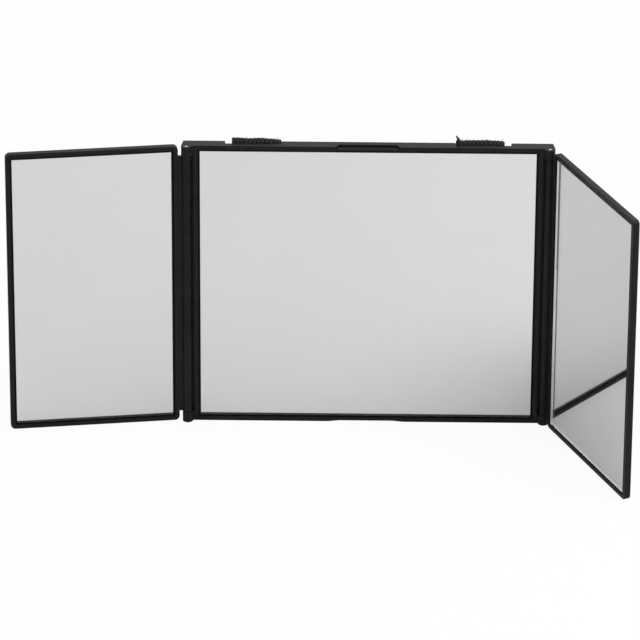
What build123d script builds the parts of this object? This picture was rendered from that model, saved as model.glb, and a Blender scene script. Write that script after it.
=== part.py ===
from build123d import *
import os
from math import acos, atan2, cos, hypot, radians, sin

# A free-standing or hung trifold mirror: a centre panel with a folding wing on each side.
# Millimetres, +Z up. X runs to the right and Y away from the viewer, so the glass faces -Y.
# The origin is the middle of the face that the centre panel stands on.
# The wings are modelled where the photograph shows them, partly folded towards the viewer.

# Overall sizes
hinge_spacing = 293.0        # between the two hinge axes
panel_height = 250.0         # of the centre panel
wing_height_clearance = 0.4  # the wings are this much shorter at the top and at the bottom
rim_width = 3.7              # front face of every rim
meeting_gap = 0.6            # between the free edges of the closed wings
fold_gap = 0.4               # between the front faces of a closed wing and the centre panel
left_wing_angle = 8.0        # forward from flat, at rest
right_wing_angle = 65.0      # forward from flat, at rest

# Glass and what it sits on
glass_thickness = 3.0
glass_recess = 0.5           # the glass lies this far behind the rim's front face
glass_clearance = 1.0        # between the edge of the glass and the rim
glass_arris = 0.5            # ground off the front edges of the glass
tape_thickness = 0.7
tape_width = 22.0
tape_margin = 12.0           # from the tape's ends to the edge of the glass
wing_floor = 1.4
web_thickness = 1.5          # the centre panel's wall between the glass and the back cavity
cavity_depth = 3.2           # behind the web, for the straps' anchors
cover_thickness = 1.5

# Hinges
rim_to_axis = 5.5            # from a hinge axis to the side of the centre rim
wing_to_axis = 6.7           # from a hinge axis to the side of its wing
lug_diameter = 8.5
lug_height = 8.6
lug_blend = 1.2              # fillet between a lug and the front face
knuckle_diameter = 7.0
knuckle_gap = 0.6            # between a knuckle's end and its lug
flange_thickness = 2.2
ear_reach = 2.5              # of the ear's back corner, outside the hinge axis
pin_diameter = 3.4
pin_length = 18.0
pin_sink = 0.4               # of a pin's end below the lug's face
pin_chamfer = 0.3
press_clearance = 0.02       # around a pin in its lug
running_clearance = 0.06     # around a pin in the knuckle that turns on it
bore_end_clearance = 0.8     # beyond the pin's inner end

# Edges and corners
wing_corner_radius = 4.0
front_edge_chamfer = 0.4
back_edge_chamfer = 0.7

# Finger grips at the middle of the centre panel's rails
grip_width = 47.0
grip_flare = 2.1             # the upper grip is wider by this at each side of its front
grip_reach = 4.4             # from the front face to the upper grip's back
grip_back_drop = 1.6         # from the top face to the back of the upper grip's floor
grip_front_drop = 2.2        # from the top face to the front of the upper grip's floor
lower_grip_width = 44.0
lower_grip_ramp = 9.0        # length of the slope at each end
lower_grip_depth = 1.2       # measured square to the bevel

# Back cover and its screws
cover_clearance = 0.2
cover_ledge = 1.6            # width of the outer wall beside the cover
cavity_wall = 3.4            # width of the outer wall beside the cavity
rib_thickness = 1.2
rib_clearance = 0.3          # between a rib and the cover
boss_width = 5.6
boss_inset = 9.0             # of the outer screws from the cavity's wall
screw_diameter = 2.4
screw_head_diameter = 4.4
screw_head_height = 1.1
screw_clearance = 0.08
cover_screw_length = 4.2

# Straps
notch_width = 45.0
notch_corner = 2.5           # radius of the notch ends at the back
notch_lip = 0.7              # from the back of the glass's pocket to the notch
notch_spacing = 185.6        # between the middles of the two notches
strap_width = 40.0
strap_thickness = 1.6
strap_shift = 2.8            # each strap lies this far towards the middle of its notch
strap_rise = 2.6             # of the fold above the top face
strap_tail = 150.0           # hanging down behind, from the top face
strap_anchor = 20.0          # of strap inside, below the top rail
strap_back_clearance = 0.4
plate_height = 9.0
plate_thickness = 1.2
plate_end = 3.6              # from the strap's edge to a plate screw
plate_drop = 6.0             # from the top rail to the plate
patch_thickness = 1.2
patch_margin = 1.0           # from the strap's edge to a closure patch
patch_height = 42.0
hook_patch_end = 5.0         # from the strap's free end to the hook patch
loop_patch_drop = 12.0       # from the top face to the loop patch

# Places worked out from the sizes above
axis_x = hinge_spacing / 2
pocket_depth = glass_recess + glass_thickness + tape_thickness
centre_depth = pocket_depth + web_thickness + cavity_depth + cover_thickness
front_y = -centre_depth / 2
axis_y = front_y - fold_gap / 2
web_front = front_y + pocket_depth
web_back = web_front + web_thickness
cover_front = web_back + cavity_depth
back_y = front_y + centre_depth
wing_depth = pocket_depth + wing_floor
wing_end = axis_x - meeting_gap / 2
wing_bottom = wing_height_clearance
wing_top = panel_height - wing_height_clearance
knuckle_bottom = lug_height + knuckle_gap
knuckle_top = panel_height - lug_height - knuckle_gap
opening_half = axis_x - rim_to_axis - rim_width


def block(x0, x1, y0, y1, z0, z1):
    """A box between two corners."""
    size = Box(x1 - x0, y1 - y0, z1 - z0)
    return Pos((x0 + x1) / 2, (y0 + y1) / 2, (z0 + z1) / 2) * size


def rod(x, y, z0, z1, diameter):
    """An upright cylinder between two heights."""
    return Pos(x, y, (z0 + z1) / 2) * Cylinder(diameter / 2, z1 - z0)


def screw(x, z, y_head, length):
    """A countersunk screw, driven towards -Y, whose head is flush with y_head."""
    head = Cone(screw_head_diameter / 2, screw_diameter / 2, screw_head_height)
    shank_length = length - screw_head_height
    shank = Cylinder(screw_diameter / 2, shank_length)
    whole = Pos(0, 0, screw_head_height / 2) * head
    whole += Pos(0, 0, screw_head_height + shank_length / 2) * shank
    return Pos(x, y_head, z) * Rot(90, 0, 0) * whole


def screw_hole(x, z, y_head, length):
    """The clearance that a countersunk screw needs, a little larger all round."""
    wide = screw_head_diameter / 2 + screw_clearance
    narrow = screw_diameter / 2 + screw_clearance
    head = Cone(wide, narrow, screw_head_height)
    shank_length = length - screw_head_height + screw_clearance
    shank = Cylinder(narrow, shank_length)
    whole = Pos(0, 0, screw_head_height / 2) * head
    whole += Pos(0, 0, screw_head_height + shank_length / 2) * shank
    return Pos(x, y_head, z) * Rot(90, 0, 0) * whole


def edges_at(part, axis, place):
    """The edges of a part that lie in one plane square to an axis."""
    return part.edges().filter_by_position(axis, place - 1e-4, place + 1e-4)


# Centre frame: a moulding with a pocket for the glass in front and a cavity behind
def ear_outline(side):
    """Plan of an ear: a round lug in front, blended into the rail, and a chamfered back corner."""
    radius = lug_diameter / 2
    corner_y = back_y - axis_y
    reach = hypot(ear_reach, corner_y)
    turn = atan2(corner_y, ear_reach) - acos(radius / reach)
    touch = (radius * cos(turn), radius * sin(turn))
    inner = -rim_to_axis - rim_width
    face_y = front_y - axis_y
    outline = Polyline(
        (inner, face_y), (0, face_y), (0, 0), touch, (ear_reach, corner_y), (inner, corner_y), close=True
    )
    plan = make_face(outline) + Circle(radius)
    meeting_x = -(radius**2 - face_y**2) ** 0.5
    corner = plan.vertices().sort_by_distance((meeting_x, face_y, 0))[0]
    plan = fillet(corner, lug_blend)
    if side < 0:
        plan = mirror(plan, Plane.YZ)
    return Pos(side * axis_x, axis_y) * plan


def strap_places():
    """The middle of each notch, and the middle of the strap in it."""
    places = []
    for side in (-1, 1):
        notch_x = side * notch_spacing / 2
        places.append((notch_x, notch_x - side * strap_shift))
    return places


def boss_places():
    """The back cover's screws: a row above the foot and a row below the straps' anchors."""
    side_x = axis_x - cavity_wall - boss_inset
    low = rim_width + boss_inset
    high = panel_height - rim_width - strap_anchor - boss_inset
    places = []
    for z in (low, high):
        for x in (-side_x, 0, side_x):
            places.append((x, z))
    return places


def plate_screws(strap_x):
    """The two screws of a strap's clamping plate, clear of the strap's edges."""
    z = panel_height - rim_width - plate_drop - plate_height / 2
    offset = strap_width / 2 + plate_end
    return [(strap_x - offset, z), (strap_x + offset, z)]


def screw_boss(x, z, top_y):
    """A square boss on the back of the web for a screw."""
    half = boss_width / 2
    return block(x - half, x + half, web_back, top_y, z - half, z + half)


def strap_notch(notch_x):
    """The space of a strap's notch, open to the back, where the rail's corners are round."""
    half = notch_width / 2
    wide = half + notch_corner
    centre_y = back_y - notch_corner
    plan = Polyline(
        (-half, web_front + notch_lip), (half, web_front + notch_lip), (half, centre_y), (wide, centre_y),
        (wide, back_y), (wide, back_y + 1), (-wide, back_y + 1), (-wide, back_y), (-wide, centre_y),
        (-half, centre_y), close=True,
    )
    space = make_face(plan)
    for x in (-wide, wide):
        space -= Pos(x, centre_y) * Circle(notch_corner)
    height = rim_width + 1
    return Pos(notch_x, 0, panel_height - rim_width) * extrude(space, height)


def upper_grip():
    """A scoop with flared ends and a sloping floor, out of the front edge of the top rail."""
    half = grip_width / 2
    flared = half + grip_flare
    back = front_y + grip_reach
    plan = Polyline(
        (-half, back), (half, back), (flared, front_y), (flared, front_y - 1),
        (-flared, front_y - 1), (-flared, front_y), close=True,
    )
    deep = Pos(0, 0, panel_height - rim_width) * extrude(make_face(plan), rim_width + 1)
    floor = Polyline(
        (back, panel_height + 1), (back, panel_height - grip_back_drop),
        (front_y, panel_height - grip_front_drop), (front_y - 1, panel_height - grip_front_drop),
        (front_y - 1, panel_height + 1), close=True,
    )
    side_view = Plane(origin=(0, 0, 0), x_dir=(0, 1, 0), z_dir=(1, 0, 0))
    return deep & extrude(side_view * make_face(floor), flared, both=True)


def lower_grip():
    """A long bevel with sloping ends on the front edge of the foot."""
    half = lower_grip_width / 2
    outer = half + lower_grip_ramp
    past = 4.0
    profile = Polyline(
        (-half, -lower_grip_depth), (half, -lower_grip_depth), (outer, 0), (outer, past),
        (-outer, past), (-outer, 0), close=True,
    )
    bevel = Plane(origin=(0, front_y, 0), x_dir=(1, 0, 0), z_dir=(0, 1, -1))
    return extrude(bevel * make_face(profile), past, both=True)


def make_centre_frame():
    rim_half = axis_x - rim_to_axis
    frame = block(-rim_half, rim_half, front_y, back_y, 0, panel_height)
    frame += block(-axis_x, axis_x, web_front, back_y, 0, panel_height)
    for side in (-1, 1):
        ear = extrude(ear_outline(side), lug_height)
        frame += ear
        frame += Pos(0, 0, panel_height - lug_height) * ear
    frame = chamfer(edges_at(frame, Axis.Y, back_y), back_edge_chamfer)
    frame -= block(-opening_half, opening_half, front_y - 1, web_front, rim_width, panel_height - rim_width)

    cavity_half = axis_x - cavity_wall
    frame -= block(-cavity_half, cavity_half, web_back, back_y + 1, rim_width, panel_height - rim_width)
    cover_half = axis_x - cover_ledge
    frame -= block(-cover_half, cover_half, cover_front, back_y + 1, cover_ledge, panel_height - cover_ledge)
    rib_back = cover_front - rib_clearance
    anchor_floor = panel_height - rim_width - strap_anchor - rib_thickness
    for z in (anchor_floor / 3, anchor_floor * 2 / 3, anchor_floor):
        frame += block(-cavity_half, cavity_half, web_back, rib_back, z, z + rib_thickness)
    for share in (-1 / 2, 1 / 2):
        x = share * cavity_half
        frame += block(x, x + rib_thickness, web_back, rib_back, rim_width, anchor_floor)
    for x, z in boss_places():
        frame += screw_boss(x, z, cover_front)
    for notch_x, strap_x in strap_places():
        frame -= strap_notch(notch_x)
        for x, z in plate_screws(strap_x):
            frame += screw_boss(x, z, web_back + strap_thickness)
    for x, z in boss_places():
        frame -= screw_hole(x, z, back_y, cover_screw_length)
    for notch_x, strap_x in strap_places():
        for x, z in plate_screws(strap_x):
            frame -= screw_hole(x, z, plate_outer_y, plate_screw_length)

    frame -= upper_grip()
    frame -= lower_grip()
    hole = pin_diameter + 2 * press_clearance
    for side in (-1, 1):
        for z in (0, panel_height - lug_height):
            frame -= rod(side * axis_x, axis_y, z - 1, z + lug_height + 1, hole)
    return frame


# The straps' anchors sit against the back of the web
plate_outer_y = web_back + strap_thickness + plate_thickness
plate_screw_length = plate_outer_y - web_front - web_thickness / 3


def make_centre_glass():
    half = opening_half - glass_clearance
    edge = rim_width + glass_clearance
    y = front_y + glass_recess
    glass = block(-half, half, y, y + glass_thickness, edge, panel_height - edge)
    return chamfer(edges_at(glass, Axis.Y, y), glass_arris)


def tape_strips(x0, x1, z0, z1, y0, count):
    """Upright strips of double-sided foam tape, evenly spread behind a pane."""
    pitch = (x1 - x0) / count
    strips = []
    for i in range(count):
        x = x0 + (i + 0.5) * pitch
        strips.append(
            block(x - tape_width / 2, x + tape_width / 2, y0, y0 + tape_thickness, z0, z1)
        )
    return Compound(children=strips)


def make_centre_tape():
    half = opening_half - tape_margin
    low = rim_width + glass_clearance + tape_margin
    y = front_y + glass_recess + glass_thickness
    return tape_strips(-half, half, low, panel_height - low, y, 5)


def make_back_cover():
    half = axis_x - cover_ledge - cover_clearance
    edge = cover_ledge + cover_clearance
    cover = block(-half, half, cover_front, back_y, edge, panel_height - edge)
    for notch_x, strap_x in strap_places():
        cover -= strap_notch(notch_x)
    for x, z in boss_places():
        cover -= screw_hole(x, z, back_y, cover_screw_length)
    return cover


def make_cover_screws():
    return Compound(children=[screw(x, z, back_y, cover_screw_length) for x, z in boss_places()])


# Straps: webbing that comes up from its anchor, folds over the top rail and hangs behind
tail_front = back_y + strap_back_clearance
tail_back = tail_front + strap_thickness


def make_strap(strap_x):
    outer = (tail_back - web_back) / 2
    inner = outer - strap_thickness
    middle_y = web_back + outer
    fold_z = panel_height + strap_rise - outer
    anchor_z = panel_height - rim_width - strap_anchor
    tail_z = panel_height - strap_tail
    run = [
        Line((web_back, anchor_z), (web_back, fold_z)),
        CenterArc((middle_y, fold_z), outer, 180, -180),
        Line((tail_back, fold_z), (tail_back, tail_z)),
        Line((tail_back, tail_z), (tail_front, tail_z)),
        Line((tail_front, tail_z), (tail_front, fold_z)),
        CenterArc((middle_y, fold_z), inner, 0, 180),
        Line((middle_y - inner, fold_z), (middle_y - inner, anchor_z)),
        Line((middle_y - inner, anchor_z), (web_back, anchor_z)),
    ]
    side_view = Plane(origin=(strap_x, 0, 0), x_dir=(0, 1, 0), z_dir=(1, 0, 0))
    profile = side_view * make_face(Wire(run))
    return extrude(profile, strap_width / 2, both=True)


def make_strap_plate(strap_x):
    (x0, z), (x1, z) = plate_screws(strap_x)
    low = z - plate_height / 2
    end = boss_width / 2
    plate = block(x0 - end, x1 + end, web_back + strap_thickness, plate_outer_y, low, low + plate_height)
    for x in (x0, x1):
        plate -= screw_hole(x, z, plate_outer_y, plate_screw_length)
    return plate


def make_strap_screws():
    screws = []
    for notch_x, strap_x in strap_places():
        for x, z in plate_screws(strap_x):
            screws.append(screw(x, z, plate_outer_y, plate_screw_length))
    return Compound(children=screws)


def make_patch(strap_x, low):
    """A sewn closure patch on the back of a strap's tail."""
    half = strap_width / 2 - patch_margin
    return block(
        strap_x - half, strap_x + half, tail_back, tail_back + patch_thickness, low, low + patch_height
    )


# Wings, modelled flat with the hinge axis at X = 0, then turned to where they rest
def wing_place(side):
    """Moves a flat wing, modelled on the right, to its hinge and turns it forward."""
    angle = left_wing_angle if side < 0 else right_wing_angle
    return Pos(side * axis_x, axis_y, 0) * Rot(0, 0, -side * angle)


def placed_wing(shape, side):
    if side < 0:
        shape = mirror(shape, Plane.YZ)
    return wing_place(side) * shape


wing_front = front_y - axis_y
wing_back = wing_front + wing_depth


def make_wing_frame(side):
    frame = block(wing_to_axis, wing_end, wing_front, wing_back, wing_bottom, wing_top)
    frame = fillet(frame.edges().filter_by(Axis.Y), wing_corner_radius)
    frame = chamfer(edges_at(frame, Axis.Y, wing_back), back_edge_chamfer)
    frame = chamfer(edges_at(frame, Axis.Y, wing_front), front_edge_chamfer)
    flange_end = wing_to_axis + front_edge_chamfer
    flange_back = wing_front + flange_thickness
    frame += block(0, flange_end, wing_front, flange_back, knuckle_bottom, knuckle_top)
    frame += rod(0, 0, knuckle_bottom, knuckle_top, knuckle_diameter)
    low = wing_bottom + rim_width
    high = wing_top - rim_width
    floor = wing_front + pocket_depth
    frame -= block(
        wing_to_axis + rim_width, wing_end - rim_width, wing_front - 1, floor, low, high
    )
    bore = pin_diameter + 2 * running_clearance
    depth = pin_length + pin_sink - lug_height - knuckle_gap + bore_end_clearance
    frame -= rod(0, 0, knuckle_bottom - 1, knuckle_bottom + depth, bore)
    frame -= rod(0, 0, knuckle_top - depth, knuckle_top + 1, bore)
    return placed_wing(frame, side)


def make_wing_glass(side):
    edge = rim_width + glass_clearance
    y = wing_front + glass_recess
    glass = block(
        wing_to_axis + edge, wing_end - edge, y, y + glass_thickness, wing_bottom + edge, wing_top - edge
    )
    glass = chamfer(edges_at(glass, Axis.Y, y), glass_arris)
    return placed_wing(glass, side)


def make_wing_tape(side):
    edge = rim_width + glass_clearance + tape_margin
    y = wing_front + glass_recess + glass_thickness
    strips = tape_strips(
        wing_to_axis + edge - tape_margin, wing_end - edge + tape_margin,
        wing_bottom + edge, wing_top - edge, y, 3,
    )
    return Compound(children=[placed_wing(strip, side) for strip in strips.solids()])


# Hinge pins, pressed into the lugs
def make_pin(side, upper):
    low = panel_height - pin_sink - pin_length if upper else pin_sink
    pin = rod(side * axis_x, axis_y, low, low + pin_length, pin_diameter)
    return chamfer(pin.edges().filter_by(GeomType.CIRCLE), pin_chamfer)


parts = {
    "centre_frame": make_centre_frame(),
    "centre_glass": make_centre_glass(),
    "centre_tape": make_centre_tape(),
    "back_cover": make_back_cover(),
    "cover_screws": make_cover_screws(),
    "strap_screws": make_strap_screws(),
}
for name, side in (("left", -1), ("right", 1)):
    strap_x = side * (notch_spacing / 2 - strap_shift)
    parts[name + "_strap"] = make_strap(strap_x)
    parts[name + "_strap_plate"] = make_strap_plate(strap_x)
    parts[name + "_loop_patch"] = make_patch(strap_x, panel_height - loop_patch_drop - patch_height)
    parts[name + "_hook_patch"] = make_patch(strap_x, panel_height - strap_tail + hook_patch_end)
    parts[name + "_wing_frame"] = make_wing_frame(side)
    parts[name + "_wing_glass"] = make_wing_glass(side)
    parts[name + "_wing_tape"] = make_wing_tape(side)
    parts[name + "_upper_pin"] = make_pin(side, True)
    parts[name + "_lower_pin"] = make_pin(side, False)

os.makedirs("parts", exist_ok=True)
for name, shape in parts.items():
    export_step(shape, "parts/" + name + ".step")
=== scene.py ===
import math
import random

import bmesh
import bpy
from mathutils import Matrix, Vector


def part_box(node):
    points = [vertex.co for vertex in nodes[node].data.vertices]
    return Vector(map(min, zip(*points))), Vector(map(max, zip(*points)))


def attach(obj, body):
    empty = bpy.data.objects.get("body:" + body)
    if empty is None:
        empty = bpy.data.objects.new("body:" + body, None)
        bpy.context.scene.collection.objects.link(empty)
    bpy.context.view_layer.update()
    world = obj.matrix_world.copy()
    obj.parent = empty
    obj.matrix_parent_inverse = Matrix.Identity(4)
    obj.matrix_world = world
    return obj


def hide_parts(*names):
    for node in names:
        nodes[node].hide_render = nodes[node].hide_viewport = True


# The looks of a folding mirror: satin black frames, silvered glass, steel hinge pins, ribbed webbing.
# Metres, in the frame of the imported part.

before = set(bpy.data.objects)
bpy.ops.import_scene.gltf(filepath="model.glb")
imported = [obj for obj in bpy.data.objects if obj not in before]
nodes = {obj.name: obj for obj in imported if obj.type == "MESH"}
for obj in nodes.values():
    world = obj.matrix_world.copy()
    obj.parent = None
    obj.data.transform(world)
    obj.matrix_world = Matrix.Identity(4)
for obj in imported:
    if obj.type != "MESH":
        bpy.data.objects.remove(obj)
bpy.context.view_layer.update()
mm = 0.001
random.seed(4)


# Building blocks for materials
def node(tree, kind, inputs=None, **settings):
    """A new node with its input values and its own settings."""
    made = tree.nodes.new(kind)
    for name, value in settings.items():
        setattr(made, name, value)
    for name, value in (inputs or {}).items():
        made.inputs[name].default_value = value
    return made


def start_material(name, color, roughness, metallic=0.0, specular=0.5):
    """A Principled material, with the node that gives object coordinates."""
    material = bpy.data.materials.new(name)
    material.use_nodes = True
    material.diffuse_color = (*color, 1)
    tree = material.node_tree
    shader = tree.nodes["Principled BSDF"]
    shader.inputs["Base Color"].default_value = (*color, 1)
    shader.inputs["Roughness"].default_value = roughness
    shader.inputs["Metallic"].default_value = metallic
    shader.inputs["Specular IOR Level"].default_value = specular
    place = node(tree, "ShaderNodeTexCoord")
    return material, tree, shader, place


def stretched(tree, vector, scale):
    """Coordinates scaled by a different factor along each axis."""
    mapping = node(tree, "ShaderNodeMapping", {"Scale": scale})
    tree.links.new(vector, mapping.inputs["Vector"])
    return mapping.outputs["Vector"]


def noise_height(tree, vector, scale, detail=2.0, roughness=0.5):
    settings = {"Scale": scale, "Detail": detail, "Roughness": roughness}
    texture = node(tree, "ShaderNodeTexNoise", settings)
    tree.links.new(vector, texture.inputs["Vector"])
    return texture.outputs["Fac"]


def spread(tree, value, low, high, from_low=0.3, from_high=0.7):
    """Stretches a texture's middle range between two values."""
    limits = {"From Min": from_low, "From Max": from_high, "To Min": low, "To Max": high}
    ranged = node(tree, "ShaderNodeMapRange", limits)
    tree.links.new(value, ranged.inputs["Value"])
    return ranged.outputs["Result"]


def maths(tree, operation, value, other=None):
    """The result of a sum on a linked value and a number or another linked value."""
    made = node(tree, "ShaderNodeMath", operation=operation)
    tree.links.new(value, made.inputs[0])
    if isinstance(other, (int, float)):
        made.inputs[1].default_value = other
    elif other is not None:
        tree.links.new(other, made.inputs[1])
    return made.outputs["Value"]


def two_tone(tree, factor, first, second):
    """One colour fading to another with a factor."""
    mix = node(tree, "ShaderNodeMix", data_type="RGBA")
    mix.inputs["A"].default_value = (*first, 1)
    mix.inputs["B"].default_value = (*second, 1)
    tree.links.new(factor, mix.inputs["Factor"])
    return mix.outputs["Result"]


def add_bump(tree, shader, height, distance, strength=1.0, below=None):
    """Bump of a real height in metres, on top of an earlier one if given."""
    bump = node(tree, "ShaderNodeBump", {"Strength": strength, "Distance": distance})
    tree.links.new(height, bump.inputs["Height"])
    if below is not None:
        tree.links.new(below, bump.inputs["Normal"])
    tree.links.new(bump.outputs["Normal"], shader.inputs["Normal"])
    return bump.outputs["Normal"]


# Materials
glass_tint = (0.99, 0.995, 0.992)
# Black for pane edges: painted shade for the dark gap round a pane.
edge_shade_paint = (0.02, 0.022, 0.021)
inner_wall_top = 8 * mm


def inner_wall(tree, place):
    """One on the bottom rails' upward walls, which the mould leaves coarser, and none elsewhere."""
    height = node(tree, "ShaderNodeSeparateXYZ")
    tree.links.new(place.outputs["Object"], height.inputs["Vector"])
    low = maths(tree, "LESS_THAN", height.outputs["Z"], inner_wall_top)
    way = node(tree, "ShaderNodeSeparateXYZ")
    tree.links.new(place.outputs["Normal"], way.inputs["Vector"])
    upward = maths(tree, "GREATER_THAN", way.outputs["Z"], 0.5)
    return maths(tree, "MULTIPLY", low, upward)


def satin_plastic():
    """Moulded black plastic with a fine spark-eroded texture and faint handling marks."""
    color = (0.010, 0.010, 0.0105)
    material, tree, shader, place = start_material("satin_black_plastic", color, 0.38, specular=0.17)
    where = place.outputs["Object"]
    tone = spread(tree, noise_height(tree, where, 60, 4), 0.0, 1.0)
    tree.links.new(two_tone(tree, tone, (0.0075, 0.0075, 0.008), (0.0125, 0.0125, 0.013)),
                   shader.inputs["Base Color"])
    gloss = spread(tree, noise_height(tree, where, 22, 5, 0.6), 0.33, 0.45)
    inner = node(tree, "ShaderNodeMix", {"B": 0.95}, data_type="FLOAT")
    tree.links.new(inner_wall(tree, place), inner.inputs["Factor"])
    tree.links.new(gloss, inner.inputs["A"])
    tree.links.new(inner.outputs["Result"], shader.inputs["Roughness"])
    grain = noise_height(tree, where, 1500, 3)
    add_bump(tree, shader, grain, 0.02 * mm, 0.5)
    return material


def pebbled_plastic():
    """The back cover's plastic, with a coarser pebbled grain that hides scratches."""
    color = (0.010, 0.010, 0.0105)
    material, tree, shader, place = start_material("pebbled_black_plastic", color, 0.5, specular=0.35)
    where = place.outputs["Object"]
    cells = node(tree, "ShaderNodeTexVoronoi", {"Scale": 900.0}, feature="SMOOTH_F1")
    tree.links.new(where, cells.inputs["Vector"])
    tone = spread(tree, noise_height(tree, where, 30, 4), 0.0, 1.0)
    tree.links.new(two_tone(tree, tone, (0.008, 0.008, 0.0085), (0.013, 0.013, 0.0135)),
                   shader.inputs["Base Color"])
    gloss = spread(tree, noise_height(tree, where, 12, 4), 0.44, 0.56)
    tree.links.new(gloss, shader.inputs["Roughness"])
    add_bump(tree, shader, cells.outputs["Distance"], 0.12 * mm, 0.7)
    return material


def clear_glass(name, facing, edges_shade_painted):
    """Float glass, clear through its faces. Its edges carry black painted shade when asked for, and are
    left polished otherwise.
    """
    material, tree, shader, place = start_material(name, glass_tint, 0.0)
    shader.inputs["IOR"].default_value = 1.5
    shader.inputs["Transmission Weight"].default_value = 1.0
    smear = noise_height(tree, place.outputs["Object"], 14, 4)
    polish = spread(tree, smear, 0.0, 0.004)
    if not edges_shade_painted:
        tree.links.new(polish, shader.inputs["Roughness"])
        return material
    across = node(tree, "ShaderNodeVectorMath", {1: facing}, operation="DOT_PRODUCT")
    tree.links.new(place.outputs["Normal"], across.inputs[0])
    is_clear = maths(tree, "GREATER_THAN", maths(tree, "ABSOLUTE", across.outputs["Value"]), 0.9)
    # On the edges the black base colour is painted shade; the faces stay clear.
    tree.links.new(two_tone(tree, is_clear, edge_shade_paint, glass_tint), shader.inputs["Base Color"])
    tree.links.new(is_clear, shader.inputs["Transmission Weight"])
    rough = node(tree, "ShaderNodeMapRange", {"To Min": 0.85})
    tree.links.new(is_clear, rough.inputs["Value"])
    tree.links.new(polish, rough.inputs["To Max"])
    tree.links.new(rough.outputs["Result"], shader.inputs["Roughness"])
    return material


def silver_coat():
    """The silvering behind the glass, with a trace of cloudiness."""
    color = (0.90, 0.91, 0.905)
    material, tree, shader, place = start_material("silver_coat", color, 0.0, metallic=1.0)
    tone = spread(tree, noise_height(tree, place.outputs["Object"], 9, 5, 0.6), 0.0, 1.0, 0.2, 0.8)
    tree.links.new(two_tone(tree, tone, (0.885, 0.89, 0.885), (0.91, 0.915, 0.91)),
                   shader.inputs["Base Color"])
    return material


def foam():
    """White closed-cell foam tape."""
    material, tree, shader, place = start_material("foam_tape", (0.7, 0.7, 0.68), 0.85)
    where = place.outputs["Object"]
    cells = node(tree, "ShaderNodeTexVoronoi", {"Scale": 1600.0})
    tree.links.new(where, cells.inputs["Vector"])
    depth = cells.outputs["Distance"]
    # Darker where the cells' bump is low: painted shade in the cell pits.
    tree.links.new(two_tone(tree, depth, (0.62, 0.62, 0.6), (0.75, 0.75, 0.73)),
                   shader.inputs["Base Color"])
    add_bump(tree, shader, depth, 0.1 * mm, 0.6)
    return material


def turned_steel(name, light, dark, roughness):
    """Steel with the fine marks of turning or plating."""
    material, tree, shader, place = start_material(name, light, roughness, metallic=1.0)
    where = place.outputs["Object"]
    tone = spread(tree, noise_height(tree, where, 500, 4), 0.0, 1.0)
    tree.links.new(two_tone(tree, tone, dark, light), shader.inputs["Base Color"])
    marks = noise_height(tree, stretched(tree, where, (1, 1, 12)), 700, 2)
    gloss = spread(tree, marks, roughness * 0.8, roughness * 1.25)
    tree.links.new(gloss, shader.inputs["Roughness"])
    add_bump(tree, shader, marks, 0.01 * mm, 0.4)
    return material


rib_pitch = 3.33 * mm
pick_pitch = 1.5 * mm


def webbing_weave():
    """Nylon webbing with painted shade in the valleys between ribs and in the dips of the weft picks,
    which step by half on the next rib.
    """
    color = (0.012, 0.012, 0.013)
    material, tree, shader, place = start_material("black_webbing", color, 0.75, specular=0.2)
    shader.inputs["Sheen Weight"].default_value = 0.08
    shader.inputs["Sheen Roughness"].default_value = 0.5
    split = node(tree, "ShaderNodeSeparateXYZ")
    tree.links.new(place.outputs["UV"], split.inputs["Vector"])
    rib = maths(tree, "MULTIPLY", split.outputs["X"], 1 / rib_pitch)
    crest = maths(tree, "ABSOLUTE", maths(tree, "SINE", maths(tree, "MULTIPLY", rib, math.pi)))
    half_steps = maths(tree, "MULTIPLY", maths(tree, "FLOOR", rib), 0.5)
    pick = maths(tree, "MULTIPLY", split.outputs["Y"], 1 / pick_pitch)
    stepped = maths(tree, "ADD", pick, half_steps)
    wave = maths(tree, "SINE", maths(tree, "MULTIPLY", stepped, 2 * math.pi))
    tone = spread(tree, wave, 0.35, 1.0, -1.0, 1.0)
    raised = spread(tree, crest, 0.0, 1.0, 0.25, 0.85)
    # Darker in the rib valleys and where the picks' bump is low: painted shade.
    shade = maths(tree, "MULTIPLY", tone, raised)
    tree.links.new(two_tone(tree, shade, (0.0015, 0.0015, 0.0015), (0.034, 0.034, 0.035)),
                   shader.inputs["Base Color"])
    yarn = noise_height(tree, place.outputs["Object"], 2600, 3)
    below = add_bump(tree, shader, yarn, 0.08 * mm, 0.6)
    add_bump(tree, shader, tone, 0.25 * mm, 0.9, below)
    return material


def closure_pile(name, scale, height):
    """Hook or loop pile of a closure patch."""
    color = (0.012, 0.012, 0.013)
    material, tree, shader, place = start_material(name, color, 0.8, specular=0.25)
    shader.inputs["Sheen Weight"].default_value = 0.35
    cells = node(tree, "ShaderNodeTexVoronoi", {"Scale": scale})
    tree.links.new(place.outputs["Object"], cells.inputs["Vector"])
    tone = spread(tree, cells.outputs["Distance"], 0.0, 1.0, 0.1, 0.7)
    # Darker where the bump dips between the pile's cells: painted shade.
    tree.links.new(two_tone(tree, tone, (0.024, 0.024, 0.025), (0.005, 0.005, 0.005)),
                   shader.inputs["Base Color"])
    add_bump(tree, shader, tone, -height, 0.9)
    return material


# Meshes
def mesh_piece(name, vertices, faces, material, smooth=True):
    """A mesh object in the row frame."""
    data = bpy.data.meshes.new(name)
    data.from_pydata(vertices, [], faces)
    data.update()
    piece = bpy.data.objects.new(name, data)
    bpy.context.scene.collection.objects.link(piece)
    data.materials.append(material)
    for polygon in data.polygons:
        polygon.use_smooth = smooth
    return piece


def finish_node(name, material):
    """Gives a CAD node its finish."""
    data = nodes[name].data
    if not data.materials:
        data.materials.append(material)
    for slot in nodes[name].material_slots:
        slot.material = material


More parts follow.
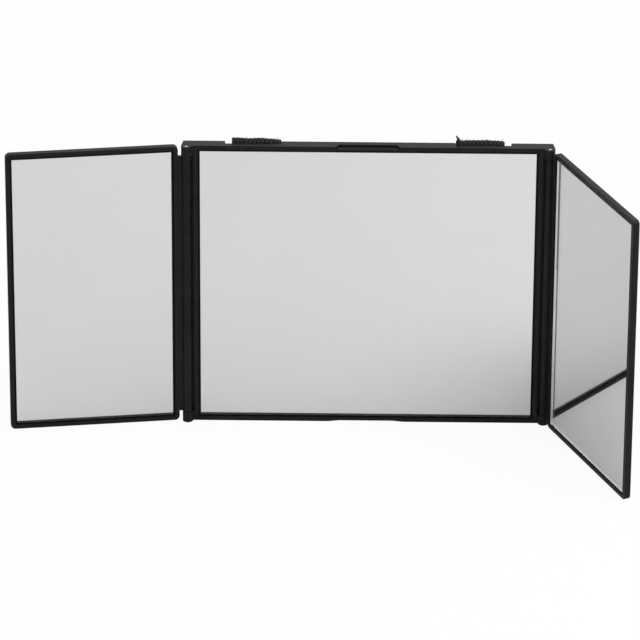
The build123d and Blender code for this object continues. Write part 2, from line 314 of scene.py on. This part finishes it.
# Glass and silver
def pane_axes(name):
    """The middle of a pane's back, the way that it faces, and its half width and half height."""
    data = nodes[name].data
    faces = [polygon for polygon in data.polygons if polygon.normal.y < 0]
    facing = max(faces, key=lambda polygon: polygon.area).normal.copy()
    facing.z = 0
    facing.normalize()
    along = Vector((0, 0, 1)).cross(facing).normalized()
    reach = [vertex.co.dot(facing) for vertex in data.vertices]
    sides = [vertex.co.dot(along) for vertex in data.vertices]
    heights = [vertex.co.z for vertex in data.vertices]
    back = facing * min(reach) + along * (max(sides) + min(sides)) / 2
    back.z = (max(heights) + min(heights)) / 2
    return back, facing, along, (max(sides) - min(sides)) / 2, (max(heights) - min(heights)) / 2


coat_margin = 0.15 * mm
coat_depth = 0.03 * mm


def silver_behind(pane, name, body, material):
    """The silver coat, a thin plate with cut corners that lies in the back of the pane."""
    back, facing, along, half_width, half_height = pane_axes(pane)
    x = half_width - coat_margin
    z = half_height - coat_margin
    cut = 2 * coat_margin
    outline = [(-x + cut, -z), (x - cut, -z), (x, -z + cut), (x, z - cut)]
    outline += [(-u, -v) for u, v in outline]
    points = []
    for depth in (coat_depth, -coat_depth):
        for u, v in outline:
            points.append(back + along * u + Vector((0, 0, v)) + facing * depth)
    count = len(outline)
    faces = [tuple(range(count)), tuple(range(2 * count - 1, count - 1, -1))]
    for i in range(count):
        j = (i + 1) % count
        faces.append((j, i, i + count, j + count))
    piece = mesh_piece(name, points, faces, material, smooth=False)
    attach(piece, body)
    return piece


# Straps
strap_thickness = 1.6 * mm
strap_anchor_below_fold = 26.3 * mm
strap_rise = 2.6 * mm
tucked_share = 0.16


def crest_at(crest, share):
    """Height of the fold's crest above its even height, read between a few points across the strap."""
    for (u0, h0), (u1, h1) in zip(crest, crest[1:]):
        if share <= u1:
            t = (share - u0) / (u1 - u0)
            t = t * t * (3 - 2 * t)
            return h0 + (h1 - h0) * t
    return crest[-1][1]


def strap_path(low, high):
    """Points, outward directions and lengths along the webbing's middle, from anchor to free end."""
    front = low.y + strap_thickness / 2
    back = high.y - strap_thickness / 2
    radius = (back - front) / 2
    middle = (front + back) / 2
    fold = high.z - strap_thickness / 2 - radius
    anchor = high.z - strap_anchor_below_fold
    path = []
    rise_steps = 14
    for i in range(rise_steps):
        z = anchor + (fold - anchor) * i / rise_steps
        path.append((Vector((0, front, z)), Vector((0, -1, 0))))
    fold_steps = 16
    for i in range(fold_steps + 1):
        turn = math.pi * i / fold_steps
        out = Vector((0, -math.cos(turn), math.sin(turn)))
        path.append((Vector((0, middle, fold)) + out * radius, out))
    tail_steps = 70
    for i in range(1, tail_steps + 1):
        z = fold + (low.z - fold) * i / tail_steps
        path.append((Vector((0, back, z)), Vector((0, 1, 0))))
    lengths = [0.0]
    for (here, _), (there, _) in zip(path, path[1:]):
        lengths.append(lengths[-1] + (there - here).length)
    return path, lengths, fold


def rib_profile(share, ribs, to_end):
    """The webbing's thickness as a share of the full one. The heat-cut end is flat and lumpy."""
    rib = abs(math.sin(math.pi * ribs * share)) ** 0.6
    edge = min(share, 1 - share) * ribs
    selvedge = min(1.0, math.sqrt(max(edge, 0.0) * 2.2) + 0.25)
    ribbed = 0.5 + 0.5 * rib
    lump = 0.86 + 0.1 * math.sin(37 * share + 1.3) * math.sin(91 * share)
    melt = max(0.0, 1 - to_end / (2 * mm))
    return (ribbed * (1 - melt) + lump * melt) * selvedge


def tuck_at(above_rail):
    """Share of the tuck at a height over the rail: none below 1 mm, full at 2.2 mm, none at the tip."""
    start = max(0.0, min(1.0, (above_rail - 1 * mm) / (1.2 * mm)))
    return start * max(0.0, min(1.0, 1 - (above_rail - 2.2 * mm) / (5.6 * mm)))


def webbing(name, cad_node, crest, tuck, material):
    """A ribbed strap with an uneven fold. A tuck pulls its first edge in, just above the rail."""
    low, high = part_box(cad_node)
    path, lengths, fold = strap_path(low, high)
    width = high.x - low.x
    ribs = round(width / rib_pitch)
    columns = ribs * 8
    vertices = []
    coords = []
    for (point, out), length in zip(path, lengths):
        rise = max(0.0, min(1.0, (point.z - fold + 3 * mm) / (6 * mm)))
        weight = rise * rise * (3 - 2 * rise)
        for side in (1, -1):
            steps = range(columns + 1) if side > 0 else range(columns, -1, -1)
            for i in steps:
                share = i / columns
                height = crest_at(crest, share) * weight
                above_rail = point.z + height - high.z + strap_rise
                inward = tuck * tuck_at(above_rail) * max(0.0, 1 - share / tucked_share)
                thick = rib_profile(share, ribs, lengths[-1] - length)
                offset = out * side * strap_thickness / 2 * thick
                place = point + offset + Vector((low.x + width * share + inward, 0, height))
                vertices.append(place)
                coords.append((width * share, length))
    ring = 2 * (columns + 1)
    faces = []
    for k in range(len(path) - 1):
        for i in range(ring):
            j = (i + 1) % ring
            faces.append((k * ring + i, k * ring + j, (k + 1) * ring + j, (k + 1) * ring + i))
    for k in (0, len(path) - 1):
        for i in range(columns):
            a = k * ring + i
            b = k * ring + ring - 1 - i
            quad = (a, b, b - 1, a + 1)
            faces.append(quad if k == 0 else quad[::-1])
    piece = mesh_piece(name, vertices, faces, material)
    layer = piece.data.uv_layers.new(name="weave")
    for loop in piece.data.loops:
        layer.data[loop.index].uv = coords[loop.vertex_index]
    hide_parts(cad_node)
    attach(piece, "centre")
    return piece


def stray_fibres(name, cad_node, count, material):
    """Short loose fibres that stand out of the fold's crest."""
    low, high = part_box(cad_node)
    middle = (low.y + high.y) / 2
    curve = bpy.data.curves.new(name, "CURVE")
    curve.dimensions = "3D"
    curve.bevel_depth = 0.07 * mm
    curve.bevel_resolution = 1
    for _ in range(count):
        spline = curve.splines.new("BEZIER")
        spline.bezier_points.add(2)
        start = Vector((random.uniform(low.x, high.x), middle + random.uniform(-1.5, 1.5) * mm,
                        high.z - 0.8 * mm))
        swing = Vector((random.uniform(-1.4, 1.4), random.uniform(-0.8, 0.8), 0)) * mm
        lift = random.uniform(0.8, 1.9) * mm
        top = start + swing * 0.5 + Vector((0, 0, lift))
        tip = start + swing * 1.6 + Vector((0, 0, lift * 0.7))
        stops = (start, top, tip)
        for point, stop in zip(spline.bezier_points, stops):
            point.co = stop
            point.handle_left_type = "AUTO"
            point.handle_right_type = "AUTO"
    piece = bpy.data.objects.new(name, curve)
    bpy.context.scene.collection.objects.link(piece)
    curve.materials.append(material)
    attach(piece, "centre")
    return piece


# Closure patches: a woven border that is stitched down round a field of loops or hooks
patch_corner = 3 * mm
patch_border = 3.2 * mm
border_thickness = 0.45 * mm
stitch_inset = 1.7 * mm
stitch_pitch = 2.9 * mm
thread_radius = 0.2 * mm


def held_in_corner(x, z, half_x, half_z, radius):
    """A point of a rectangle, pulled in where its corner is round."""
    over_x = abs(x) - (half_x - radius)
    over_z = abs(z) - (half_z - radius)
    if over_x <= 0 or over_z <= 0:
        return x, z
    away = math.hypot(over_x, over_z)
    if away <= radius:
        return x, z
    share = radius / away
    return (math.copysign(half_x - radius + over_x * share, x),
            math.copysign(half_z - radius + over_z * share, z))


def patch_pad(name, cad_node, field_height, roughness, material):
    """The patch's cloth: a thin border and a thicker field with an uneven surface."""
    low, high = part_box(cad_node)
    half_x = (high.x - low.x) / 2
    half_z = (high.z - low.z) / 2
    middle = Vector(((low.x + high.x) / 2, low.y, (low.z + high.z) / 2))
    steps_x = 50
    steps_z = 56
    vertices = []
    for back in (False, True):
        for k in range(steps_z + 1):
            for i in range(steps_x + 1):
                u = (2 * i / steps_x - 1) * half_x
                v = (2 * k / steps_z - 1) * half_z
                x, z = held_in_corner(u, v, half_x, half_z, patch_corner)
                inside = min(half_x - abs(x), half_z - abs(z))
                share = max(0.0, min(1.0, (inside - patch_border + 0.4 * mm) / (0.8 * mm)))
                height = border_thickness + (field_height - border_thickness) * share
                height += share * random.uniform(-1, 1) * roughness
                if inside < 0.3 * mm:
                    height *= 0.6
                vertices.append(middle + Vector((x, height if back else 0.0, z)))
    row = steps_x + 1
    layer = row * (steps_z + 1)
    faces = []
    for k in range(steps_z):
        for i in range(steps_x):
            a = k * row + i
            faces.append((a, a + 1, a + row + 1, a + row))
            faces.append((layer + a, layer + a + row, layer + a + row + 1, layer + a + 1))
    border = [i for i in range(steps_x)]
    border += [k * row + steps_x for k in range(steps_z)]
    border += [steps_z * row + i for i in range(steps_x, 0, -1)]
    border += [k * row for k in range(steps_z, 0, -1)]
    for here, there in zip(border, border[1:] + border[:1]):
        faces.append((here, here + layer, there + layer, there))
    piece = mesh_piece(name, vertices, faces, material)
    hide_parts(cad_node)
    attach(piece, "centre")
    return piece


def add_tube(vertices, faces, points, radii, side_axis):
    """Adds a four-sided tapering tube through some points to a mesh that is being built."""
    start = len(vertices)
    for k, (point, radius) in enumerate(zip(points, radii)):
        before = points[max(k - 1, 0)]
        after = points[min(k + 1, len(points) - 1)]
        forward = (after - before).normalized()
        across = forward.cross(side_axis).normalized()
        other = forward.cross(across)
        for turn in range(4):
            angle = math.pi / 2 * turn
            vertices.append(point + (across * math.cos(angle) + other * math.sin(angle)) * radius)
    for k in range(len(points) - 1):
        for turn in range(4):
            a = start + k * 4 + turn
            b = start + k * 4 + (turn + 1) % 4
            faces.append((a, b, b + 4, a + 4))
    last = start + 4 * (len(points) - 1)
    faces.append((start + 3, start + 2, start + 1, start))
    faces.append((last, last + 1, last + 2, last + 3))


def patch_hooks(name, cad_node, material):
    """Rows of small bent hooks that stand on a hook patch."""
    low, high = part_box(cad_node)
    base = low.y + 0.75 * mm
    pitch = 1.7 * mm
    margin = patch_border + 1 * mm
    vertices = []
    faces = []
    rows = int((high.z - low.z - 2 * margin) / pitch)
    columns = int((high.x - low.x - 2 * margin) / pitch)
    for k in range(rows + 1):
        for i in range(columns + 1):
            foot = Vector((low.x + margin + i * pitch, base, low.z + margin + k * pitch))
            foot += Vector((random.uniform(-0.15, 0.15), 0, random.uniform(-0.15, 0.15))) * mm
            way = 1 if (i + k) % 2 else -1
            bend = Vector((random.uniform(-0.2, 0.2), 0, way)).normalized() * mm
            up = Vector((0, mm, 0))
            knee = foot + up * 0.62 + bend * 0.18
            points = (foot, foot + up * 0.45, knee, foot + up * 0.5 + bend * 0.42)
            radii = (0.11 * mm, 0.1 * mm, 0.1 * mm, 0.06 * mm)
            add_tube(vertices, faces, points, radii, Vector((1, 0, 0)))
    piece = mesh_piece(name, vertices, faces, material)
    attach(piece, "centre")
    return piece


def patch_stitches(name, cad_node, material):
    """One round of thread that holds a patch's border down."""
    low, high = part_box(cad_node)
    height = low.y + border_thickness
    vertices = []
    faces = []
    x0 = low.x + stitch_inset
    x1 = high.x - stitch_inset
    z0 = low.z + stitch_inset
    z1 = high.z - stitch_inset
    corners = [Vector((x, height, z)) for x, z in ((x0, z0), (x1, z0), (x1, z1), (x0, z1))]
    for here, there in zip(corners, corners[1:] + corners[:1]):
        run = there - here
        count = int(run.length / stitch_pitch)
        along = run.normalized()
        for i in range(count):
            middle = here + run * (i + 0.5) / count
            reach = along * (run.length / count / 2 - 0.22 * mm)
            dip = Vector((0, 0.26 * mm, 0))
            points = (middle - reach - dip, middle - reach * 0.75 + dip * 0.2, middle + dip * 0.5,
                      middle + reach * 0.75 + dip * 0.2, middle + reach - dip)
            radii = [thread_radius * share for share in (0.7, 1, 1, 1, 0.7)]
            add_tube(vertices, faces, points, radii, Vector((0, 1, 0)))
    piece = mesh_piece(name, vertices, faces, material)
    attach(piece, "centre")
    return piece


# Screws with a cross recess
screw_head = 2.2 * mm
screw_shank = 1.2 * mm
screw_head_depth = 1.1 * mm
screw_sides = 28
recess_arm = 1.25 * mm
recess_half_width = 0.27 * mm
recess_depth = 0.9 * mm


def circle_outline(radius):
    """The corners of a circle."""
    turns = [2 * math.pi * i / screw_sides for i in range(screw_sides)]
    return [(radius * math.cos(turn), radius * math.sin(turn)) for turn in turns]


def cross_outline(scale):
    """The twelve corners of a cross."""
    arm = recess_arm
    half = recess_half_width
    corners = []
    for turn in range(4):
        cos = math.cos(math.pi / 2 * turn)
        sin = math.sin(math.pi / 2 * turn)
        for u, v in ((arm, -half), (arm, half), (half, half)):
            corners.append(((u * cos - v * sin) * scale, (u * sin + v * cos) * scale))
    return corners


def outline_at(model, place, outline, depth):
    """New corners of an outline at a depth below the screw's face."""
    return [model.verts.new(place @ Vector((u, -depth, v))) for u, v in outline]


def join_outlines(model, first, second):
    """A band of faces between two outlines."""
    count = len(first)
    for i in range(count):
        j = (i + 1) % count
        model.faces.new((first[i], first[j], second[j], second[i]))


def cross_screw(model, place, length):
    """Adds one countersunk screw with a cross recess."""
    rim = outline_at(model, place, circle_outline(screw_head), 0.06 * mm)
    crown = outline_at(model, place, circle_outline(screw_head * 0.93), 0.0)
    mouth = outline_at(model, place, cross_outline(1.0), 0.0)
    bottom = outline_at(model, place, cross_outline(0.55), recess_depth)
    neck = outline_at(model, place, circle_outline(screw_shank), screw_head_depth)
    tip = outline_at(model, place, circle_outline(screw_shank), length)
    join_outlines(model, crown, rim)
    join_outlines(model, rim, neck)
    join_outlines(model, neck, tip)
    model.faces.new(tip)
    join_outlines(model, bottom, mouth)
    model.faces.new(bottom)
    edges = []
    for loop in (crown, mouth):
        for i, vertex in enumerate(loop):
            edges.append(model.edges.get((vertex, loop[(i + 1) % len(loop)])))
    bmesh.ops.triangle_fill(model, use_beauty=True, use_dissolve=False, edges=edges)


def cross_screws(name, cad_node, body, columns, material):
    """Two rows of cross screws, in the place of the CAD's plain ones."""
    low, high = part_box(cad_node)
    first = low.x + screw_head
    run = high.x - low.x - 2 * screw_head
    model = bmesh.new()
    for z in (low.z + screw_head, high.z - screw_head):
        for column in range(columns):
            x = first + run * column / (columns - 1)
            twist = random.uniform(0, math.pi / 2)
            place = Matrix.Translation((x, high.y, z)) @ Matrix.Rotation(twist, 4, "Y")
            cross_screw(model, place, high.y - low.y)
    bmesh.ops.recalc_face_normals(model, faces=model.faces)
    data = bpy.data.meshes.new(name)
    model.to_mesh(data)
    model.free()
    piece = bpy.data.objects.new(name, data)
    bpy.context.scene.collection.objects.link(piece)
    data.materials.append(material)
    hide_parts(cad_node)
    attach(piece, body)
    return piece


# Camera: a long lens, at the angle that the photograph was taken from
image_width_px = 640
focal_px = 5500.0
sensor_width = 36.0
camera_place = Vector((-6.8, -4013.4, 2133.3)) * mm
pitch_down = math.radians(26.97)
yaw = math.radians(-0.446)
roll = math.radians(0.334)


def make_camera():
    level = math.cos(pitch_down)
    forward = Vector((math.sin(yaw) * level, math.cos(yaw) * level, -math.sin(pitch_down)))
    level_right = Vector((math.cos(yaw), -math.sin(yaw), 0))
    level_up = level_right.cross(forward)
    right = level_right * math.cos(roll) + level_up * math.sin(roll)
    up = level_up * math.cos(roll) - level_right * math.sin(roll)
    data = bpy.data.cameras.new("camera")
    data.sensor_width = sensor_width
    data.lens = focal_px / image_width_px * sensor_width
    data.clip_end = 60
    camera = bpy.data.objects.new("camera", data)
    turn = Matrix((right, up, -forward)).transposed().to_4x4()
    camera.matrix_world = Matrix.Translation(camera_place) @ turn
    bpy.context.scene.collection.objects.link(camera)
    bpy.context.scene.camera = camera


# Floor, surroundings and lamps
def seen_flag(tree, glossy_share):
    """One for a camera ray, and a share of one for a ray that a mirror or glass has turned."""
    light_path = node(tree, "ShaderNodeLightPath")
    glossy = maths(tree, "MULTIPLY", light_path.outputs["Is Glossy Ray"], glossy_share)
    passed = maths(tree, "MULTIPLY", light_path.outputs["Is Transmission Ray"], glossy_share)
    either = maths(tree, "MAXIMUM", glossy, passed)
    return maths(tree, "MAXIMUM", light_path.outputs["Is Camera Ray"], either)


def make_floor():
    """A pale floor that looks white, and keeps a trace of the object's shadow."""
    half = 40.0
    color = (0.8, 0.8, 0.8)
    material, tree, shader, place = start_material("pale_floor", color, 0.9, specular=0.0)
    tone = spread(tree, noise_height(tree, place.outputs["Object"], 2.5, 3), 0.0, 1.0)
    tree.links.new(two_tone(tree, tone, (0.795, 0.795, 0.795), (0.805, 0.805, 0.805)),
                   shader.inputs["Base Color"])
    white = node(tree, "ShaderNodeEmission", {"Color": (1, 1, 1, 1), "Strength": 1.03})
    mix = node(tree, "ShaderNodeMixShader")
    tree.links.new(maths(tree, "MULTIPLY", seen_flag(tree, 0.12), 0.9), mix.inputs["Fac"])
    tree.links.new(shader.outputs["BSDF"], mix.inputs[1])
    tree.links.new(white.outputs["Emission"], mix.inputs[2])
    tree.links.new(mix.outputs["Shader"], tree.nodes["Material Output"].inputs["Surface"])
    corners = [(-half, -half, 0), (half, -half, 0), (half, half, 0), (-half, half, 0)]
    mesh_piece("floor", corners, [(0, 1, 2, 3)], material, smooth=False)


def make_world():
    """Even studio light, seen as plain white."""
    world = bpy.data.worlds.new("studio")
    bpy.context.scene.world = world
    world.use_nodes = True
    tree = world.node_tree
    light = tree.nodes["Background"]
    light.inputs["Color"].default_value = (1, 1, 1, 1)
    light.inputs["Strength"].default_value = 0.59
    white = node(tree, "ShaderNodeBackground", {"Color": (1, 1, 1, 1), "Strength": 1.0})
    mix = node(tree, "ShaderNodeMixShader")
    tree.links.new(seen_flag(tree, 1.0), mix.inputs["Fac"])
    tree.links.new(light.outputs["Background"], mix.inputs[1])
    tree.links.new(white.outputs["Background"], mix.inputs[2])
    tree.links.new(mix.outputs["Shader"], tree.nodes["World Output"].inputs["Surface"])


def area_lamp(name, place, target, size, power):
    data = bpy.data.lights.new(name, "AREA")
    data.shape = "DISK"
    data.size = size
    data.energy = power
    lamp = bpy.data.objects.new(name, data)
    aim = Vector(target) - Vector(place)
    turn = aim.to_track_quat("-Z", "Y").to_matrix().to_4x4()
    lamp.matrix_world = Matrix.Translation(place) @ turn
    bpy.context.scene.collection.objects.link(lamp)


# The object
plastic = satin_plastic()
for name in ("centre_frame", "left_wing_frame", "right_wing_frame"):
    finish_node(name, plastic)
finish_node("back_cover", pebbled_plastic())
tape = foam()
for name in ("centre_tape", "left_wing_tape", "right_wing_tape"):
    finish_node(name, tape)
pin_steel = turned_steel("pin_steel", (0.78, 0.78, 0.79), (0.66, 0.66, 0.67), 0.3)
for side in ("left", "right"):
    finish_node(side + "_upper_pin", pin_steel)
    finish_node(side + "_lower_pin", pin_steel)
black_zinc = turned_steel("black_zinc", (0.07, 0.07, 0.075), (0.04, 0.04, 0.045), 0.35)
cross_screws("cross_screws", "cover_screws", "centre", 3, black_zinc)
finish_node("strap_screws", black_zinc)
plated = turned_steel("plated_steel", (0.5, 0.5, 0.51), (0.4, 0.4, 0.41), 0.3)
for side in ("left", "right"):
    finish_node(side + "_strap_plate", plated)

silver = silver_coat()
# The centre and left panes get black painted shade on their edges; the right pane's edges stay
# polished.
panes = (("centre_glass", "centre", True), ("left_wing_glass", "left_wing", True),
         ("right_wing_glass", "right_wing", False))
for pane, body, edges_shade_painted in panes:
    facing = pane_axes(pane)[1]
    finish_node(pane, clear_glass(pane + "_clear", facing, edges_shade_painted))
    silver_behind(pane, pane.replace("glass", "silver"), body, silver)

weave = webbing_weave()
left_crest = [(0.0, 0.7 * mm), (0.12, 0.6 * mm), (0.35, 0.1 * mm), (0.58, 0.6 * mm),
              (0.78, -0.1 * mm), (1.0, -0.9 * mm)]
right_crest = [(0.0, 5.0 * mm), (0.025, 3.0 * mm), (0.06, 1.0 * mm), (0.1, -0.2 * mm),
               (0.3, 0.2 * mm), (0.6, 0.3 * mm), (0.92, -0.3 * mm), (1.0, -0.8 * mm)]
webbing("left_webbing", "left_strap", left_crest, 0.0, weave)
webbing("right_webbing", "right_strap", right_crest, 2.6 * mm, weave)
stray_fibres("left_fibres", "left_strap", 22, weave)
stray_fibres("right_fibres", "right_strap", 28, weave)
loop_pile = closure_pile("loop_pile", 2200.0, 0.25 * mm)
hook_cloth = closure_pile("hook_cloth", 1500.0, 0.1 * mm)
for side in ("left", "right"):
    loops = side + "_loop_patch"
    hooks = side + "_hook_patch"
    patch_pad(side + "_loop_pad", loops, 1.05 * mm, 0.13 * mm, loop_pile)
    patch_stitches(side + "_loop_stitches", loops, loop_pile)
    patch_pad(side + "_hook_pad", hooks, 0.75 * mm, 0.03 * mm, hook_cloth)
    patch_hooks(side + "_hooks", hooks, hook_cloth)
    patch_stitches(side + "_hook_stitches", hooks, hook_cloth)

make_floor()
make_world()
area_lamp("key", (0.6, -0.3, 1.4), (0.05, -0.1, 0.0), 1.2, 10.0)
make_camera()
scene = bpy.context.scene
scene.view_settings.view_transform = "Standard"
